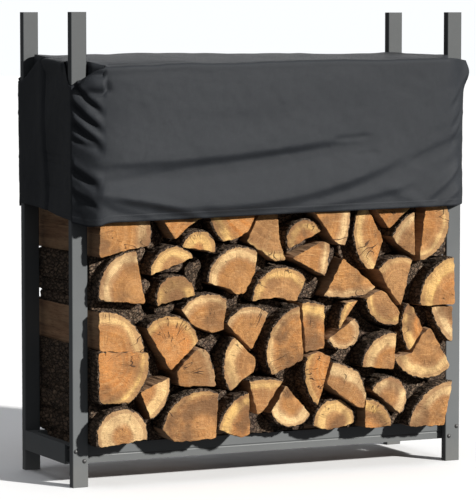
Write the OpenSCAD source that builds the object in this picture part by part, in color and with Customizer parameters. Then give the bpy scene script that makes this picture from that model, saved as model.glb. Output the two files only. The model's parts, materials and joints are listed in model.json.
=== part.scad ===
// Log rack for split firewood: four tube uprights on a bolted channel base,
// stacked with split logs, with a fitted fabric cover over the upper courses.
// Millimetres. +X is the rack's right, +Y its back, +Z up. The origin is on
// the ground, in the middle of the footprint.

/* [Frame] */
// Width over the uprights
rack_w = 1120; // [1120:10:1180]
// Depth over the uprights
rack_d = 354; // [330:2:380]
// Height of the uprights
rack_h = 1200; // [1160:10:1300]

/* [Uprights] */
// Width of an upright tube, across the rack
post_w = 43; // [40:1:43]
// Depth of an upright tube
post_d = 23; // [20:1:26]
// Wall thickness of an upright tube
post_wall = 2; // [1.5:0.5:2]
// Outer corner radius of an upright tube
post_r = 3; // [2.5:0.5:3]

/* [Rails] */
// Height of every rail's top edge above the ground
rail_top = 105; // [100:1:106]
// Height of a front or rear rail
long_rail_h = 47; // [46:1:48]
// Depth of a front or rear rail
long_rail_d = 29; // [24:1:34]
// Height of an end rail
end_rail_h = 51; // [45:1:55]
// Width of an end rail's top and bottom lips
end_lip = 22; // [15:1:28]
// Sheet thickness of the rails
sheet = 2; // [1.5:0.5:2.5]

/* [Fasteners] */
// Shank diameter of the bolts
bolt_d = 6; // [5:0.5:6]
// Diameter of a bolt's domed head
head_d = 12; // [11:0.5:12.5]
// Height of a bolt's domed head
head_h = 3.5; // [2:0.5:5]
// Distance of the outer bolt from an upright's outer edge
outer_inset = 9; // [8:0.5:10]
// Distance of the inner bolt from an upright's outer edge
inner_inset = 32; // [29:0.5:34]
// Height of the outer bolts
outer_bolt_z = 92; // [88:1:94]
// Height of the inner bolts
inner_bolt_z = 66.5; // [66:0.5:67]

/* [Firewood] */
// Length of a log
log_len = 457; // [440:1:460]
// Largest distance that a log sits forward or back of the middle
log_stagger = 12; // [0:1:12]
// Length of the small splits between the logs
split_len = 360; // [300:10:400]

/* [Cover] */
// Thickness of the cover's panels
cover_t = 2.5; // [1:0.5:3]
// Height of the underside of the cover's top panel
cover_top = 1072; // [1072:1:1080]
// Height of the hem at the front and the back
hem_z = 678; // [670:1:690]
// Height of the hem at the ends
end_hem_z = 692; // [680:1:700]
// Height of the lower edge of the openings for the uprights
slot_z = 1018; // [1000:1:1040]
// Half of the depth over the cover's front and back panels
cover_y = 247; // [247:1:252]

/* [Hidden] */
$fn = 32;
half_w = rack_w / 2;
half_d = rack_d / 2;
hair = 0.3;               // gap between pieces that only just touch
rail_play = 0.5;          // gap at each end of the long rails and the end rails' lips
bolt_gap = 0.3;           // radial clearance of a bolt in its hole
washer_d = 11;
washer_t = 1.2;
nut_af = 10;              // across the flats of a nut
nut_t = 5;
thread_over = 2;          // bolt end past its nut

front_face = -half_d;                          // front faces of the front uprights
front_web = front_face + post_d;               // outer face of the front rail's web
front_tab = front_web + long_rail_d + hair;    // front face of an end rail's front tab
rear_tab = half_d - post_d;                    // back face of an end rail's rear tab
rear_web = rear_tab - sheet;                   // outer face of the rear rail's web
long_rail_len = rack_w - 2 * (sheet + rail_play);
end_rail_z = rail_top - end_rail_h;
long_rail_z = rail_top - long_rail_h;

// A stiffening groove runs along a front or rear rail's web.
groove_z = 18.4;          // above the rail's bottom edge
groove_r = 4;
groove_out = 2.2;         // groove circle's centre, outside the web's face

end_x = half_w + 3;       // inner face of the cover's end panels
corner_x = 514;           // where the front and back panels turn to the corners
slot_y = half_d - post_d - 4;  // the top panel between the uprights reaches this far
corner_y = half_d + 5;    // where the corner panels meet the end panels

// A log's outline is a list of [x, z, bulge] corners, anticlockwise as seen
// from the front. bulge is how far the edge to the next corner bows out, as a
// share of half its length: 0 is a split face, 1 is a half-round of bark.
course_1 = [
    [[-381, 122, 1.3], [-510, 110, 0]],
    [[-182, 228, 0.5], [-338, 142, 0], [-304, 108, 0], [-240, 107, 0], [-186, 112, 0]],
    [[-97, 226, 0.33], [-182, 134, 0], [-120, 110, 0], [-92, 118, 0]],
    [[-24, 164, 0.6], [92, 154, 0], [20, 234, 0]],
    [[222, 126, 1.1], [99, 124, 0], [150, 110, 0]],
    [[248, 109, 0], [330, 111, 0.4], [251, 187, 0]],
    [[380, 110, 0], [484, 107, 0], [508, 220, 0.33]],
];
course_2 = [
    [[-505, 220, 0], [-428, 218, 0.3], [-374, 338, 0], [-509, 346, 0]],
    [[-288, 250, 0], [-186, 246, 0], [-192, 290, 0.1], [-212, 340, 0], [-234, 348, 0],
     [-296, 288, 0]],
    [[-136, 370, 0.38], [-146, 230, 0], [-110, 260, 0], [-78, 276, 0], [-72, 310, 0]],
    [[72, 308, 0.3], [104, 178, 0], [124, 233, 0], [143, 305, 0], [104, 322, 0]],
    [[243, 166, 0], [245, 206, 0.1], [222, 262, 0.1], [147, 292, 0], [128, 235, 0],
     [168, 204, 0], [222, 168, 0]],
    [[340, 290, 0.48], [506, 260, 0], [445, 363, 0], [428, 350, 0], [394, 298, 0]],
];
course_3 = [
    [[-384, 344, 0.42], [-504, 446, 0], [-503, 351, 0]],
    [[-230, 366, 0.62], [-378, 402, 0], [-308, 290, 0], [-241, 352, 0]],
    [[-33, 428, 0.5], [-154, 404, 0], [-82, 332, 0]],
    [[52, 444, 0.5], [-24, 264, 0], [66, 302, 0]],
    [[124, 442, 0.12], [57, 450, 0], [70, 320, 0], [124, 328, 0]],
    [[133, 350, 1.2], [212, 404, 0]],
    [[336, 360, 0.45], [230, 275, 0], [328, 264, 0]],
    [[381, 434, 0.36], [384, 306, 0], [426, 362, 0], [398, 420, 0]],
    [[452, 420, 0.2], [510, 328, 0], [511, 420, 0]],
];
course_4 = [
    [[-404, 597, 0.48], [-498, 478, 0], [-378, 466, 0]],
    [[-148, 466, 0.4], [-276, 446, 0], [-244, 404, 0], [-190, 382, 0], [-158, 390, 0]],
    [[78, 510, 0.7], [-80, 458, 0], [-12, 464, 0], [50, 452, 0]],
    [[128, 464, 0.1], [248, 462, 0], [283, 482, 0], [183, 562, 0]],
    [[248, 452, 0.5], [348, 382, 0], [350, 412, 0], [310, 466, 0], [294, 474, 0]],
    [[508, 552, 0.36], [410, 430, 0], [511, 430, 0]],
    [[166, 374, 0], [178, 394, 0], [224, 450, 0], [186, 444, 0.2]],
];
course_5 = [
    [[-248, 578, 0.8], [-368, 536, 0]],
    [[-190, 588, 1.05], [-284, 606, 0]],
    [[-60, 586, 0.6], [-202, 510, 0], [-138, 492, 0], [-116, 476, 0], [-94, 479, 0],
     [-66, 528, 0]],
    [[-92, 613, 0], [-56, 590, 0], [-8, 558, 0], [18, 563, 0], [0, 616, 0], [-1, 700, 0],
     [-45, 700, 0]],
    [[124, 635, 1], [27, 588, 0]],
    [[34, 566, 0], [131, 515, 0.1], [145, 599, 0], [121, 608, 0]],
    [[388, 550, 0.36], [285, 528, 0], [313, 478, 0], [352, 426, 0]],
];
course_6 = [
    [[-501, 586, 0], [-442, 602, 0], [-366, 616, 0.15], [-374, 700, 0], [-500, 700, 0]],
    [[-300, 624, 0], [-250, 666, 0], [-216, 680, 0], [-212, 700, 0], [-350, 700, 0]],
    [[-208, 700, 0.15], [-166, 614, 0], [-126, 622, 0], [-94, 638, 0], [-66, 700, 0]],
    [[82, 700, 0], [153, 605, 0], [182, 594, 0.1], [198, 700, 0]],
    [[240, 700, 0.36], [256, 530, 0], [277, 527, 0], [304, 606, 0], [252, 700, 0]],
    [[321, 634, 0], [390, 690, 0], [392, 700, 0], [268, 700, 0]],
    [[397, 558, 0], [396, 678, 0.18], [328, 612, 0], [351, 586, 0]],
    [[414, 548, 0.5], [484, 700, 0], [432, 700, 0]],
];
loose_left = [[-366, 166, 0.35], [-310, 276, 0], [-393, 242, 0]];
loose_dome = [[-234, 480, 1.2], [-344, 455, 0]];
loose_wedge = [[8, 250, 0.12], [-98, 256, 0], [-72, 166, 0], [-58, 166, 0]];
loose_round = [[352, 140, 1.3], [264, 210, 0]];

// Outlines of the small splits that fill the gaps between the logs: [x, z] corners.
small_splits = [
    [[-503, 453], [-482, 452], [-447, 446], [-447, 467], [-500, 473]],
    [[-352, 601], [-328, 611], [-306, 618], [-352, 686]],
    [[-388, 560], [-376, 546], [-368, 580], [-359, 597], [-367, 607], [-396, 602]],
    [[-378, 478], [-352, 490], [-346, 512], [-372, 530], [-386, 532]],
    [[-442, 446], [-388, 410], [-356, 428], [-378, 462], [-440, 469]],
    [[-334, 435], [-286, 434], [-280, 452], [-282, 463], [-332, 452]],
    [[-230, 492], [-196, 490], [-208, 512], [-204, 558], [-222, 578], [-252, 542]],
    [[-320, 536], [-304, 539], [-276, 539], [-258, 548], [-256, 570], [-318, 548]],
    [[-297, 614], [-288, 611], [-280, 630], [-250, 650], [-250, 660]],
    [[-184, 582], [-158, 597], [-134, 604], [-168, 609], [-187, 630]],
    [[-246, 652], [-226, 652], [-206, 643], [-200, 654], [-210, 676]],
    [[-93, 628], [-88, 626], [-54, 689], [-58, 698], [-70, 688]],
    [[-122, 607], [-100, 606], [-98, 614], [-98, 630], [-122, 620]],
    [[-58, 520], [-44, 534], [-18, 546], [-20, 560], [-52, 580]],
    [[-92, 466], [-86, 464], [-80, 484], [-68, 508], [-70, 512]],
    [[-142, 434], [-118, 447], [-88, 453], [-98, 472], [-118, 470], [-138, 484]],
    [[-46, 448], [-26, 432], [-18, 410], [20, 438], [20, 450], [-12, 458]],
    [[-68, 326], [-48, 330], [-44, 352], [-24, 394], [-34, 412]],
    [[-70, 270], [-40, 270], [-44, 296], [-48, 318], [-66, 314]],
    [[-218, 352], [-198, 344], [-178, 324], [-148, 372], [-188, 375], [-222, 386]],
    [[-180, 238], [-160, 236], [-171, 262], [-174, 300], [-184, 322], [-187, 294], [-181, 262]],
    [[-177, 180], [-160, 200], [-136, 217], [-132, 226], [-150, 222], [-176, 226]],
    [[-374, 262], [-322, 283], [-345, 334], [-368, 370], [-366, 312]],
    [[-424, 205], [-396, 188], [-378, 164], [-398, 228], [-426, 211]],
    [[-375, 114], [-318, 110], [-347, 143], [-344, 164], [-364, 157], [-375, 152]],
    [[-304, 221], [-262, 241], [-284, 244], [-297, 258], [-301, 276], [-302, 250]],
    [[-508, 514], [-499, 546], [-487, 567], [-450, 594], [-506, 581]],
    [[-511, 174], [-488, 198], [-446, 207], [-446, 214], [-507, 215]],
    [[-86, 112], [6, 110], [-14, 138], [-32, 157], [-76, 158], [-88, 196]],
    [[-36, 176], [-26, 175], [12, 237], [6, 239]],
    [[6, 262], [30, 240], [86, 176], [66, 220], [56, 256], [56, 288]],
    [[-130, 226], [-100, 233], [-105, 252], [-113, 249]],
    [[112, 182], [136, 195], [158, 200], [127, 224]],
    [[56, 112], [94, 111], [90, 124], [88, 141], [76, 129]],
    [[216, 109], [243, 111], [244, 160], [226, 161], [229, 126]],
    [[252, 198], [257, 214], [272, 238], [302, 252], [300, 260], [236, 266], [248, 224]],
    [[337, 112], [373, 112], [388, 150], [378, 158], [354, 131], [338, 130]],
    [[384, 168], [402, 175], [424, 196], [456, 215], [396, 234], [352, 261], [364, 236], [382, 210]],
    [[342, 298], [375, 302], [356, 334], [350, 372], [343, 368]],
    [[234, 338], [262, 353], [318, 369], [290, 375], [260, 398], [242, 432], [214, 423], [234, 384]],
    [[131, 361], [158, 376], [159, 402], [174, 440], [178, 450], [134, 454]],
    [[64, 460], [118, 456], [134, 490], [126, 507], [64, 540], [88, 512]],
    [[22, 550], [36, 555], [25, 577], [13, 622], [8, 652], [6, 616], [21, 574]],
    [[6, 662], [30, 656], [50, 668], [74, 672], [93, 670], [76, 694], [76, 700], [6, 700]],
    [[40, 576], [118, 614], [136, 608], [128, 624], [122, 627], [40, 587]],
    [[144, 512], [176, 566], [178, 586], [154, 597], [152, 570], [147, 545]],
    [[190, 569], [244, 526], [221, 566], [210, 600], [209, 640], [214, 672], [208, 700], [204, 690],
     [201, 640], [192, 602]],
    [[307, 614], [316, 629], [270, 686], [264, 688]],
    [[289, 542], [304, 556], [332, 567], [350, 568], [343, 580], [321, 604], [311, 606]],
    [[404, 560], [409, 560], [418, 640], [424, 700], [399, 700], [403, 682]],
    [[366, 441], [386, 442], [403, 438], [406, 466], [426, 512], [448, 532], [430, 545], [398, 544],
     [378, 488]],
    [[433, 369], [449, 372], [454, 384], [444, 421], [408, 421]],
    [[506, 276], [511, 282], [510, 317], [488, 336], [464, 358], [454, 361]],
    [[463, 219], [486, 226], [510, 228], [509, 250], [488, 239], [464, 229]],
    [[493, 108], [512, 108], [512, 196]],
    [[132, 318], [154, 303], [180, 293], [222, 273], [230, 314], [224, 332], [206, 321],
     [186, 314], [162, 315], [136, 331]],
    [[464, 560], [490, 556], [508, 560], [511, 610], [511, 700], [500, 700], [503, 660],
     [500, 626], [492, 600], [480, 580]],
];

// The courses under the cover repeat four shapes, each drawn in a cell. Each
// shape reaches to within cell_gap of the cell's top. The cells' fills are drawn
// for this number of logs to a course.
covered_courses = 4;
logs_per_course = 9;
covered_from = 706;       // height of the first covered course
covered_to = cover_top - 1;
pile_half_w = 512;
cell_w = 2 * pile_half_w / logs_per_course;
cell_h = (covered_to - covered_from) / covered_courses;
cell_gap = 2;
cell_shapes = [
    [[cell_w - 6, 6, 1.45], [6, 3, 0]],
    [[8, 4, 0], [cell_w - 9, 6, 0.42], [10, cell_h - cell_gap, 0]],
    [[cell_w / 2, 4, 0], [cell_w - 8, cell_h - 20, 0.3], [6, cell_h - 17, 0]],
    [[8, 6, 0], [cell_w - 16, 4, 0.2], [cell_w - 18, cell_h - cell_gap, 0],
     [6, cell_h - 9, 0]],
];

// Small splits that fill each shape's cell, as [x, z] corners.
cell_fills = [
    [[[4, 48], [14, 68], [36, 81], [51, 84], [50, 88], [4, 88]],
     [[110, 48], [110, 88], [64, 88], [63, 84], [78, 81], [100, 68]]],
    [[[111, 12], [111, 88], [52, 88], [63, 82], [78, 71], [90, 57], [100, 42], [107, 24]]],
    [[[4, 4], [51, 4], [4, 69]], [[63, 4], [110, 4], [110, 67]]],
    [],
];

// ---- helpers ----

// A flat rectangle, centred, with true round corners.
module round_rect(w, d, r) {
    square([w - 2 * r, d], center = true);
    square([w, d - 2 * r], center = true);
    for (sx = [-1, 1], sy = [-1, 1])
        translate([sx * (w / 2 - r), sy * (d / 2 - r)]) circle(r = r);
}

// A round bar along +Y from y, centred on x and z.
module bar_y(x, y, z, d, length) {
    translate([x, y, z]) rotate([-90, 0, 0]) cylinder(d = d, h = length);
}

// The two bolt positions of an upright: [x, z], with side -1 for left, 1 for right.
function bolt_spots(side) = [
    [side * (half_w - outer_inset), outer_bolt_z],
    [side * (half_w - inner_inset), inner_bolt_z]];

// Clearance holes for an upright's bolts, from y along +Y.
module bolt_holes(side, y, length) {
    for (s = bolt_spots(side)) bar_y(s[0], y, s[1], bolt_d + 2 * bolt_gap, length);
}

// Mirrors its children to the rear half when end is 1.
module to_end(end) {
    mirror([0, end > 0 ? 1 : 0, 0]) children();
}

// ---- frame ----

module upright(side, end) {
    color("dimgray") to_end(end) difference() {
        translate([side * (half_w - post_w / 2), front_face + post_d / 2, 0])
            linear_extrude(rack_h) difference() {
                round_rect(post_w, post_d, post_r);
                round_rect(post_w - 2 * post_wall, post_d - 2 * post_wall,
                    post_r - post_wall);
            }
        bolt_holes(side, front_face - 1, post_d + 2);
    }
}

// Section of a front rail: x is depth behind the web's face, y is height.
module long_rail_section() {
    difference() {
        union() {
            difference() {
                square([long_rail_d, long_rail_h]);
                translate([sheet, sheet])
                    square([long_rail_d, long_rail_h - 2 * sheet]);
            }
            intersection() {
                translate([-groove_out, groove_z]) circle(r = groove_r + sheet);
                square([long_rail_d, long_rail_h]);
            }
        }
        translate([-groove_out, groove_z]) circle(r = groove_r);
    }
}

module long_rail(end, web_y) {
    color("dimgray") to_end(end) difference() {
        translate([-long_rail_len / 2, -web_y, long_rail_z])
            rotate([90, 0, 90]) linear_extrude(long_rail_len) long_rail_section();
        for (side = [-1, 1]) bolt_holes(side, -web_y - 1, sheet + 2);
    }
}

module end_rail(side) {
    lip_from = front_tab + sheet;
    lip_to = rear_web - long_rail_d - rail_play;
    color("dimgray") mirror([side > 0 ? 1 : 0, 0, 0]) difference() {
        union() {
            translate([-half_w, front_tab, end_rail_z])
                cube([sheet, rear_tab - front_tab, end_rail_h]);
            for (z = [end_rail_z, rail_top - sheet])
                translate([-half_w, front_tab, z])
                    cube([end_lip, lip_to - front_tab, sheet]);
            for (y = [front_tab, rear_tab - sheet])
                translate([-half_w, y, end_rail_z]) cube([post_w, sheet, end_rail_h]);
        }
        bolt_holes(-1, front_tab - 1, sheet + 2);
        bolt_holes(-1, rear_tab - sheet - 1, sheet + 2);
    }
}

// ---- fasteners ----

// The face that a bolt's nut and washer sit on, as distance from the upright's
// front or rear face. Only the front outer bolts reach the end rail's tab.
function grip(end, outer) =
    end > 0 ? post_d + 2 * sheet
    : outer ? front_tab + sheet - front_face
    : post_d + sheet;

// Places its children at a bolt: the origin on the upright's face, +Y inwards.
module at_bolt(side, end, outer) {
    spot = bolt_spots(side)[outer ? 0 : 1];
    to_end(end) translate([spot[0], front_face, spot[1]]) children();
}

module bolt(length) {
    head_r = (head_d * head_d / 4 + head_h * head_h) / (2 * head_h);
    rotate([-90, 0, 0]) {
        translate([0, 0, -hair / 10]) cylinder(d = bolt_d, h = length);
        intersection() {
            translate([0, 0, head_r - head_h]) sphere(r = head_r, $fn = 48);
            translate([0, 0, -head_h]) cylinder(d = head_d, h = head_h - hair / 10);
        }
    }
}

module washer() {
    rotate([-90, 0, 0]) difference() {
        cylinder(d = washer_d, h = washer_t);
        translate([0, 0, -1]) cylinder(d = bolt_d + 2 * bolt_gap, h = washer_t + 2);
    }
}

module nut() {
    rotate([-90, 0, 0]) difference() {
        cylinder(d = nut_af / cos(30), h = nut_t, $fn = 6);
        translate([0, 0, -1]) cylinder(d = bolt_d + bolt_gap / 2, h = nut_t + 2);
    }
}

module bolts(long) {
    color("gray") for (side = [-1, 1], end = [-1, 1], outer = [true, false])
        if (long == (outer && end < 0)) at_bolt(side, end, outer)
            bolt(grip(end, outer) + washer_t + nut_t + thread_over);
}

module washers() {
    color("silver") for (side = [-1, 1], end = [-1, 1], outer = [true, false])
        at_bolt(side, end, outer) translate([0, grip(end, outer), 0]) washer();
}

module nuts() {
    color("silver") for (side = [-1, 1], end = [-1, 1], outer = [true, false])
        at_bolt(side, end, outer) translate([0, grip(end, outer) + washer_t, 0]) nut();
}

// ---- firewood ----

arc_steps = 8;

// Points of the edge from p to q, without q: p alone on a straight edge.
function edge(p, q) =
    p[2] == 0 ? [[p[0], p[1]]] :
    let (dx = q[0] - p[0], dz = q[1] - p[1], chord = norm([dx, dz]),
        rise = p[2] * chord / 2, r = (chord * chord / 4 + rise * rise) / (2 * rise),
        cx = (p[0] + q[0]) / 2 + dz / chord * (rise - r),
        cz = (p[1] + q[1]) / 2 - dx / chord * (rise - r),
        from = atan2(p[1] - cz, p[0] - cx), to = atan2(q[1] - cz, q[0] - cx),
        turn = to > from ? to - from : to - from + 360)
    [for (i = [0 : arc_steps - 1])
        let (a = from + turn * i / arc_steps) [cx + r * cos(a), cz + r * sin(a)]];

function outline(corners) = [for (i = [0 : len(corners) - 1])
    each edge(corners[i], corners[(i + 1) % len(corners)])];

// How far a log sits back of the middle: a fixed scatter over its course.
function stagger(course, i) =
    log_stagger * (((course * 31 + i * 47) % 25) / 12 - 1);

module log(corners, back) {
    translate([0, log_len / 2 + back, 0]) rotate([90, 0, 0])
        linear_extrude(log_len) polygon(outline(corners));
}

module log_course(course, logs) {
    color("burlywood") for (i = [0 : len(logs) - 1])
        log(logs[i], stagger(course, i));
}

// The shape that a covered course has in cell i.
function shape_of(row, i) = (i + 3 * row) % len(cell_shapes);

// Moves its children to a cell of a covered course.
module at_cell(row, i) {
    translate([i * cell_w - pile_half_w, 0, covered_from + row * cell_h]) children();
}

module covered_course(row) {
    color("burlywood") for (i = [0 : logs_per_course - 1])
        at_cell(row, i) log(cell_shapes[shape_of(row, i)], stagger(row, i));
}

module small_split(corners) {
    translate([0, split_len / 2, 0]) rotate([90, 0, 0])
        linear_extrude(split_len) polygon(corners);
}

module small_split_set() {
    color("sienna") {
        for (corners = small_splits) small_split(corners);
        for (row = [0 : covered_courses - 1], i = [0 : logs_per_course - 1],
                corners = cell_fills[shape_of(row, i)])
            at_cell(row, i) small_split(corners);
    }
}

module loose_log(corners, course) {
    color("peru") log(corners, stagger(course, 5));
}

// ---- cover ----

module cover_top() {
    color([0.27, 0.28, 0.3]) {
        translate([-corner_x, -cover_y + cover_t, cover_top])
            cube([2 * corner_x, 2 * (cover_y - cover_t), cover_t]);
        for (side = [-1, 1]) mirror([side > 0 ? 1 : 0, 0, 0])
            translate([-end_x - cover_t, -slot_y, cover_top])
                cube([end_x + cover_t - corner_x - hair, 2 * slot_y, cover_t]);
    }
}

module cover_side(end) {
    color([0.27, 0.28, 0.3]) to_end(end) translate([-corner_x, -cover_y, hem_z])
        cube([2 * corner_x, cover_t - hair, cover_top + cover_t - hem_z]);
}

module cover_end(side) {
    color([0.2, 0.21, 0.23]) mirror([side > 0 ? 1 : 0, 0, 0]) {
        translate([-end_x - cover_t, -corner_y, end_hem_z])
            cube([cover_t, 2 * corner_y, slot_z - end_hem_z]);
        translate([-end_x - cover_t, -slot_y, slot_z + hair])
            cube([cover_t, 2 * slot_y, cover_top - slot_z - 2 * hair]);
    }
}

// The slanted panels from the front and back panels to the end panels.
module cover_corners() {
    inset = cover_t * 0.75;
    color([0.2, 0.21, 0.23]) for (mx = [0, 1], my = [0, 1])
        mirror([mx, 0, 0]) mirror([0, my, 0])
            translate([0, 0, end_hem_z]) linear_extrude(slot_z - end_hem_z)
                polygon([
                    [-end_x - cover_t, -corner_y - hair],
                    [-corner_x - hair, -cover_y],
                    [-corner_x - hair, -cover_y + cover_t],
                    [-end_x - cover_t + inset, -corner_y - hair]]);
}

upright(-1, -1);  // upright_front_left
upright(1, -1);  // upright_front_right
upright(-1, 1);  // upright_rear_left
upright(1, 1);  // upright_rear_right
long_rail(-1, -front_web);  // front_rail
long_rail(1, rear_web);  // rear_rail
end_rail(-1);  // end_rail_left
end_rail(1);  // end_rail_right
bolts(true);  // long_bolts
bolts(false);  // short_bolts
washers();
nuts();
log_course(1, course_1);  // log_course_1
log_course(2, course_2);  // log_course_2
log_course(3, course_3);  // log_course_3
log_course(4, course_4);  // log_course_4
log_course(5, course_5);  // log_course_5
log_course(6, course_6);  // log_course_6
covered_course(0);  // log_course_7
covered_course(1);  // log_course_8
covered_course(2);  // log_course_9
covered_course(3);  // log_course_10
small_split_set();  // small_splits
loose_log(loose_left, 1);  // loose_log_left
loose_log(loose_dome, 2);  // loose_log_dome
loose_log(loose_wedge, 3);  // loose_log_wedge
loose_log(loose_round, 4);  // loose_log_round
cover_top();
cover_side(-1);  // cover_front
cover_side(1);  // cover_back
cover_end(-1);  // cover_end_left
cover_end(1);  // cover_end_right
cover_corners();
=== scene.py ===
"""Looks of the firewood log rack: camera, light, steel finish, split logs and fabric cover."""

import json
import math

import bpy
import numpy as np
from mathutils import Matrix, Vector


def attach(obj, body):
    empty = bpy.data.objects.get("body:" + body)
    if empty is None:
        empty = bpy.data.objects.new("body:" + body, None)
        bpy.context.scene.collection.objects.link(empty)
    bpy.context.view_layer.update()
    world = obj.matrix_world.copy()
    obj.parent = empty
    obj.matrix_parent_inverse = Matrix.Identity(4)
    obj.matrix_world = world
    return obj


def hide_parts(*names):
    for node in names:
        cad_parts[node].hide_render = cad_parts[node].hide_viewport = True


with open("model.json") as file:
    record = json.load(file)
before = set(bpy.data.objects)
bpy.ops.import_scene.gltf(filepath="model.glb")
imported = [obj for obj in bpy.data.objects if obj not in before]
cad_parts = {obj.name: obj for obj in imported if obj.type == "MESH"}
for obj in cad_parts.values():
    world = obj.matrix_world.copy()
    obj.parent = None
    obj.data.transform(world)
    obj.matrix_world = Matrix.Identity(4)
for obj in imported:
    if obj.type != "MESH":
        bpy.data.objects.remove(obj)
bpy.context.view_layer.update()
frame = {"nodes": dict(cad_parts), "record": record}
scene = bpy.context.scene

# ---------------------------------------------------------------- camera, light, floor

CAMERA_AIM = Vector((-0.0144, 0.0, 0.5728))
CAMERA_DISTANCE = 7.776
CAMERA_YAW = math.radians(25.29)      # to the left of the rack's front
CAMERA_PITCH = math.radians(4.51)     # above the rack's middle
CAMERA_LENS = 211.6
WORLD_LIGHT = 0.15
BACKDROP = 1.02                       # how bright the studio behind the rack looks


def direction(yaw, pitch):
    """Unit vector from the rack towards a place yaw left of its front and pitch up."""
    return Vector((-math.sin(yaw) * math.cos(pitch), -math.cos(yaw) * math.cos(pitch),
                   math.sin(pitch)))


def aim(obj, target):
    obj.rotation_euler = (Vector(target) - obj.location).to_track_quat("-Z", "Y").to_euler()


def make_camera():
    camera = bpy.data.objects.new("camera", bpy.data.cameras.new("camera"))
    scene.collection.objects.link(camera)
    camera.location = CAMERA_AIM + CAMERA_DISTANCE * direction(CAMERA_YAW, CAMERA_PITCH)
    aim(camera, CAMERA_AIM)
    camera.data.lens = CAMERA_LENS
    camera.data.sensor_width = 36.0
    camera.data.clip_end = 60.0
    scene.camera = camera


def sun_light(name, yaw, pitch, angle, strength, color=(1.0, 1.0, 1.0)):
    """A distant light, strength times as bright on a white surface that faces it."""
    light = bpy.data.objects.new(name, bpy.data.lights.new(name, "SUN"))
    scene.collection.objects.link(light)
    light.location = 8.0 * direction(math.radians(yaw), math.radians(pitch))
    aim(light, (0.0, 0.0, 0.0))
    light.data.angle = math.radians(angle)
    light.data.energy = strength * math.pi
    light.data.color = color


def make_world():
    world = bpy.data.worlds.new("studio")
    scene.world = world
    world.use_nodes = True
    nodes, links = world.node_tree.nodes, world.node_tree.links
    background = nodes["Background"]
    background.inputs["Color"].default_value = (0.96, 0.98, 1.0, 1.0)
    # Seen directly the studio is nearly white; as light it is much weaker than the key.
    seen = nodes.new("ShaderNodeLightPath")
    strength = nodes.new("ShaderNodeMapRange")
    strength.inputs["To Min"].default_value = WORLD_LIGHT
    strength.inputs["To Max"].default_value = BACKDROP
    links.new(seen.outputs["Is Camera Ray"], strength.inputs["Value"])
    links.new(strength.outputs[0], background.inputs["Strength"])


make_camera()
make_world()
sun_light("key", -31, 24, 3.0, 1.97, color=(1.0, 0.975, 0.92))
sun_light("overhead", 0, 86, 60.0, 0.22)
sun_light("back", -155, 13, 40.0, 0.11)
scene.view_settings.view_transform = "Standard"


# ---------------------------------------------------------------- materials

# A Mix node's sockets for colours: its factor and two colours, and its result.
MIX_COLOR_INPUTS, MIX_COLOR_OUTPUT = (0, 6, 7), 2


class Shader:
    """A material's node tree. Its methods add nodes and give back their output sockets."""

    def __init__(self, name, **inputs):
        self.material = bpy.data.materials.new(name)
        self.material.use_nodes = True
        self.tree = self.material.node_tree
        self.surface = self.tree.nodes["Principled BSDF"]
        for key, value in inputs.items():
            self.surface.inputs[key.replace("_", " ")].default_value = value

    def put(self, socket, value):
        if isinstance(value, bpy.types.NodeSocket):
            self.tree.links.new(value, socket)
        elif isinstance(value, tuple) and len(value) == 3 and socket.type == "RGBA":
            socket.default_value = (*value, 1.0)
        else:
            socket.default_value = value

    def node(self, kind, *values, **settings):
        node = self.tree.nodes.new("ShaderNode" + kind)
        for key, value in settings.items():
            setattr(node, key, value)
        for socket, value in zip(node.inputs, values):
            if value is not None:
                self.put(socket, value)
        return node

    def attribute(self, name, output="Vector"):
        return self.node("Attribute", attribute_name=name).outputs[output]

    def math(self, operation, a, b=None, c=None):
        return self.node("Math", a, b, c, operation=operation).outputs[0]

    def vector(self, operation, a, b=None):
        node = self.node("VectorMath", a, b, operation=operation)
        return node.outputs["Value" if operation == "LENGTH" else "Vector"]

    def split(self, vector):
        return tuple(self.node("SeparateXYZ", vector).outputs)

    def join(self, x, y, z):
        return self.node("CombineXYZ", x, y, z).outputs[0]

    def noise(self, vector, scale, detail=4.0, roughness=0.5, distortion=0.0):
        node = self.node("TexNoise")
        self.put(node.inputs["Vector"], vector)
        self.put(node.inputs["Scale"], scale)
        self.put(node.inputs["Detail"], detail)
        self.put(node.inputs["Roughness"], roughness)
        self.put(node.inputs["Distortion"], distortion)
        return node.outputs["Fac"]

    def cells(self, vector, scale, feature="DISTANCE_TO_EDGE"):
        node = self.node("TexVoronoi", feature=feature)
        self.put(node.inputs["Vector"], vector)
        self.put(node.inputs["Scale"], scale)
        return node.outputs["Distance"]

    def ease(self, value, low, high, to_low=0.0, to_high=1.0):
        """A smooth step from to_low to to_high as value goes from low to high."""
        node = self.node("MapRange", interpolation_type="SMOOTHSTEP")
        for key, number in (("Value", value), ("From Min", low), ("From Max", high),
                            ("To Min", to_low), ("To Max", to_high)):
            self.put(node.inputs[key], number)
        return node.outputs[0]

    def mix(self, factor, a, b):
        node = self.node("Mix", data_type="RGBA")
        for socket, value in zip(MIX_COLOR_INPUTS, (factor, a, b)):
            self.put(node.inputs[socket], value)
        return node.outputs[MIX_COLOR_OUTPUT]

    def tint(self, color, mask, share, other):
        """The colour with other laid over it where mask is 1, to that share."""
        return self.mix(self.math("MULTIPLY", mask, share), color, other)

    def finish(self, color, roughness, bumps=()):
        """The material. bumps is a list of (height socket, height in metres)."""
        self.put(self.surface.inputs["Base Color"], color)
        self.put(self.surface.inputs["Roughness"], roughness)
        normal = None
        for height, distance in bumps:
            bump = self.node("Bump")
            bump.inputs["Distance"].default_value = distance
            self.put(bump.inputs["Height"], height)
            if normal is not None:
                self.put(bump.inputs["Normal"], normal)
            normal = bump.outputs[0]
        if normal is not None:
            self.put(self.surface.inputs["Normal"], normal)
        return self.material


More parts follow.
